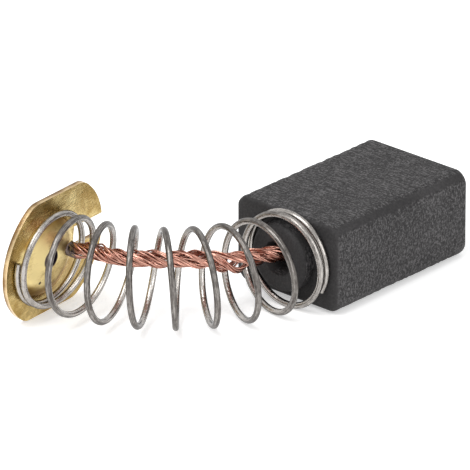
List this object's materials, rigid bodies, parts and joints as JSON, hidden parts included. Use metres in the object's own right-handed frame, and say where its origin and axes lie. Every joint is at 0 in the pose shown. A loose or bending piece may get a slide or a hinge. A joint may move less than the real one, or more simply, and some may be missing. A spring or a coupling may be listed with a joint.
{
  "type": "carbon brush",
  "caption": "Carbon motor brush: chamfered carbon block with a bowed coil spring, a twisted copper shunt inside it and a stamped brass contact cap.",
  "frame": {"origin": "middle of the contact face, the end of the carbon block that runs on the commutator", "axes": "+X out of the contact face along the block, +Z across the block's smaller section size; the spring leaves the block along -X and bows round towards +Y"},
  "size_m": [0.0245, 0.0144, 0.0074],
  "materials": {
    "carbon": "matt pressed carbon graphite",
    "spring_steel": "drawn wire, dull grey",
    "copper": "fine bare wire, dulled",
    "brass": "pressed sheet, semi-bright"
  },
  "bodies": {
    "brush": {"carbon_block": "carbon", "spring": "spring_steel", "shunt": "copper"},
    "cap": {"contact_cap": "brass"}
  },
  "joints": [
    {"name": "cap_travel", "type": "hinge", "parent": "brush", "child": "cap", "pos_m": [-0.0116, 0.0089, 0], "axis": [0, 0, 1], "range_deg": [0, 35], "stiffness_Nm_per_rad": 0.0131, "springref_deg": -5.73, "deforming": ["spring", "shunt"]}
  ]
}
